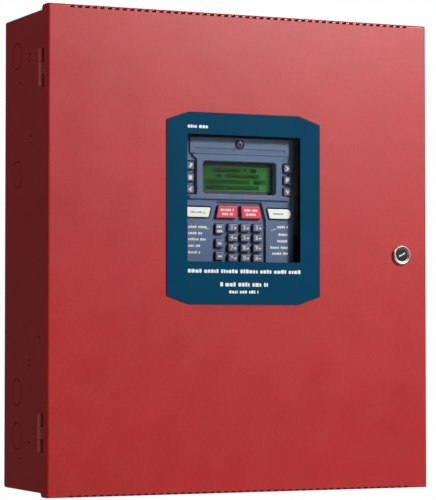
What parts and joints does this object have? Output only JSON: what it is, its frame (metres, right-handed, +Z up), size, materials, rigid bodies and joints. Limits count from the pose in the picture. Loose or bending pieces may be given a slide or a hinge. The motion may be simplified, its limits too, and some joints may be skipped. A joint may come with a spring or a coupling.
{
  "type": "fire alarm control panel",
  "caption": "Wall-mounted red steel fire alarm cabinet with a hinged windowed door, cam lock, display, keypad, control board, transformer and batteries.",
  "frame": {"origin": "middle of the back wall's rear face, where the cabinet meets the wall", "axes": "+X to the right seen from the front, +Y into the wall, +Z up; the door faces -Y"},
  "size_m": [0.4298, 0.1382, 0.4892],
  "materials": {
    "red_paint": "semi-gloss powder coat, fine orange peel",
    "blue_trim": "satin printed polycarbonate",
    "clear_pane": "clear polycarbonate sheet",
    "nickel": "nickel plated",
    "zinc_plate": "zinc plated",
    "dark_steel": "blackened",
    "grey_plastic": "fine moulded texture",
    "key_grey": "satin",
    "key_white": "satin",
    "key_red": "satin",
    "display_glass": "smooth",
    "circuit_board": "solder mask",
    "black_plastic": "moulded",
    "terminal_green": "moulded",
    "coil_tape": "wrapped tape",
    "aluminium": "extruded",
    "brass": "machined"
  },
  "bodies": {
    "cabinet": {"back_box": "red_paint", "hinge_leaf_case_upper": "zinc_plate", "hinge_leaf_case_lower": "zinc_plate", "hinge_pin_upper": "zinc_plate", "hinge_pin_lower": "zinc_plate", "chassis": "zinc_plate", "battery_strap": "zinc_plate", "display_screw": "dark_steel", "transformer_core": "dark_steel", "display_housing": "grey_plastic", "lcd_module": "display_glass", "main_board": "circuit_board", "keypad_board": "circuit_board", "relay_alarm": "black_plastic", "relay_trouble": "black_plastic", "main_capacitor": "black_plastic", "sounder": "black_plastic", "battery_left": "black_plastic", "battery_right": "black_plastic", "terminal_strip_field": "terminal_green", "terminal_strip_loop": "terminal_green", "mains_terminal_block": "terminal_green", "transformer_coil": "coil_tape", "heat_sink": "aluminium", "ground_stud": "brass"},
    "door": {"door_shell": "red_paint", "window_bezel": "blue_trim", "window_pane": "clear_pane", "hinge_leaf_door_upper": "zinc_plate", "hinge_leaf_door_lower": "zinc_plate", "lock_body": "nickel", "lock_nut": "zinc_plate"},
    "lock": {"lock_plug": "dark_steel", "lock_cam": "zinc_plate", "cam_screw": "zinc_plate"},
    "key_left_1_body": {"key_left_1": "key_grey"},
    "key_left_2_body": {"key_left_2": "key_grey"},
    "key_left_3_body": {"key_left_3": "key_grey"},
    "key_right_1_body": {"key_right_1": "key_grey"},
    "key_right_2_body": {"key_right_2": "key_grey"},
    "key_right_3_body": {"key_right_3": "key_grey"},
    "key_white_left_body": {"key_white_left": "key_white"},
    "key_white_right_body": {"key_white_right": "key_white"},
    "key_red_left_body": {"key_red_left": "key_red"},
    "key_red_right_body": {"key_red_right": "key_red"},
    "key_side_1_body": {"key_side_1": "key_grey"},
    "key_side_2_body": {"key_side_2": "key_grey"},
    "key_side_3_body": {"key_side_3": "key_grey"},
    "key_1_body": {"key_1": "key_grey"},
    "key_2_body": {"key_2": "key_grey"},
    "key_3_body": {"key_3": "key_grey"},
    "key_4_body": {"key_4": "key_grey"},
    "key_5_body": {"key_5": "key_grey"},
    "key_6_body": {"key_6": "key_grey"},
    "key_7_body": {"key_7": "key_grey"},
    "key_8_body": {"key_8": "key_grey"},
    "key_9_body": {"key_9": "key_grey"},
    "key_star_body": {"key_star": "key_grey"},
    "key_0_body": {"key_0": "key_grey"},
    "key_hash_body": {"key_hash": "key_grey"}
  },
  "joints": [
    {"name": "door_hinge", "type": "hinge", "parent": "cabinet", "child": "door", "pos_m": [-0.214, -0.1145, 0], "axis": [0, 0, -1], "range_deg": [0, 175]},
    {"name": "lock_turn", "type": "hinge", "parent": "door", "child": "lock", "pos_m": [0.183, -0.125, 0.0002], "axis": [0, -1, 0], "range_deg": [0, 90]},
    {"name": "press_left_1", "type": "slide", "parent": "cabinet", "child": "key_left_1_body", "axis": [0, 1, 0], "range_m": [0, 0.001], "stiffness_N_per_m": 600, "springref_m": -0.0006},
    {"name": "press_left_2", "type": "slide", "parent": "cabinet", "child": "key_left_2_body", "axis": [0, 1, 0], "range_m": [0, 0.001], "stiffness_N_per_m": 600, "springref_m": -0.0006},
    {"name": "press_left_3", "type": "slide", "parent": "cabinet", "child": "key_left_3_body", "axis": [0, 1, 0], "range_m": [0, 0.001], "stiffness_N_per_m": 600, "springref_m": -0.0006},
    {"name": "press_right_1", "type": "slide", "parent": "cabinet", "child": "key_right_1_body", "axis": [0, 1, 0], "range_m": [0, 0.001], "stiffness_N_per_m": 600, "springref_m": -0.0006},
    {"name": "press_right_2", "type": "slide", "parent": "cabinet", "child": "key_right_2_body", "axis": [0, 1, 0], "range_m": [0, 0.001], "stiffness_N_per_m": 600, "springref_m": -0.0006},
    {"name": "press_right_3", "type": "slide", "parent": "cabinet", "child": "key_right_3_body", "axis": [0, 1, 0], "range_m": [0, 0.001], "stiffness_N_per_m": 600, "springref_m": -0.0006},
    {"name": "press_white_left", "type": "slide", "parent": "cabinet", "child": "key_white_left_body", "axis": [0, 1, 0], "range_m": [0, 0.001], "stiffness_N_per_m": 600, "springref_m": -0.0006},
    {"name": "press_white_right", "type": "slide", "parent": "cabinet", "child": "key_white_right_body", "axis": [0, 1, 0], "range_m": [0, 0.001], "stiffness_N_per_m": 600, "springref_m": -0.0006},
    {"name": "press_red_left", "type": "slide", "parent": "cabinet", "child": "key_red_left_body", "axis": [0, 1, 0], "range_m": [0, 0.001], "stiffness_N_per_m": 600, "springref_m": -0.0006},
    {"name": "press_red_right", "type": "slide", "parent": "cabinet", "child": "key_red_right_body", "axis": [0, 1, 0], "range_m": [0, 0.001], "stiffness_N_per_m": 600, "springref_m": -0.0006},
    {"name": "press_side_1", "type": "slide", "parent": "cabinet", "child": "key_side_1_body", "axis": [0, 1, 0], "range_m": [0, 0.001], "stiffness_N_per_m": 600, "springref_m": -0.0006},
    {"name": "press_side_2", "type": "slide", "parent": "cabinet", "child": "key_side_2_body", "axis": [0, 1, 0], "range_m": [0, 0.001], "stiffness_N_per_m": 600, "springref_m": -0.0006},
    {"name": "press_side_3", "type": "slide", "parent": "cabinet", "child": "key_side_3_body", "axis": [0, 1, 0], "range_m": [0, 0.001], "stiffness_N_per_m": 600, "springref_m": -0.0006},
    {"name": "press_1", "type": "slide", "parent": "cabinet", "child": "key_1_body", "axis": [0, 1, 0], "range_m": [0, 0.001], "stiffness_N_per_m": 600, "springref_m": -0.0006},
    {"name": "press_2", "type": "slide", "parent": "cabinet", "child": "key_2_body", "axis": [0, 1, 0], "range_m": [0, 0.001], "stiffness_N_per_m": 600, "springref_m": -0.0006},
    {"name": "press_3", "type": "slide", "parent": "cabinet", "child": "key_3_body", "axis": [0, 1, 0], "range_m": [0, 0.001], "stiffness_N_per_m": 600, "springref_m": -0.0006},
    {"name": "press_4", "type": "slide", "parent": "cabinet", "child": "key_4_body", "axis": [0, 1, 0], "range_m": [0, 0.001], "stiffness_N_per_m": 600, "springref_m": -0.0006},
    {"name": "press_5", "type": "slide", "parent": "cabinet", "child": "key_5_body", "axis": [0, 1, 0], "range_m": [0, 0.001], "stiffness_N_per_m": 600, "springref_m": -0.0006},
    {"name": "press_6", "type": "slide", "parent": "cabinet", "child": "key_6_body", "axis": [0, 1, 0], "range_m": [0, 0.001], "stiffness_N_per_m": 600, "springref_m": -0.0006},
    {"name": "press_7", "type": "slide", "parent": "cabinet", "child": "key_7_body", "axis": [0, 1, 0], "range_m": [0, 0.001], "stiffness_N_per_m": 600, "springref_m": -0.0006},
    {"name": "press_8", "type": "slide", "parent": "cabinet", "child": "key_8_body", "axis": [0, 1, 0], "range_m": [0, 0.001], "stiffness_N_per_m": 600, "springref_m": -0.0006},
    {"name": "press_9", "type": "slide", "parent": "cabinet", "child": "key_9_body", "axis": [0, 1, 0], "range_m": [0, 0.001], "stiffness_N_per_m": 600, "springref_m": -0.0006},
    {"name": "press_star", "type": "slide", "parent": "cabinet", "child": "key_star_body", "axis": [0, 1, 0], "range_m": [0, 0.001], "stiffness_N_per_m": 600, "springref_m": -0.0006},
    {"name": "press_0", "type": "slide", "parent": "cabinet", "child": "key_0_body", "axis": [0, 1, 0], "range_m": [0, 0.001], "stiffness_N_per_m": 600, "springref_m": -0.0006},
    {"name": "press_hash", "type": "slide", "parent": "cabinet", "child": "key_hash_body", "axis": [0, 1, 0], "range_m": [0, 0.001], "stiffness_N_per_m": 600, "springref_m": -0.0006}
  ]
}
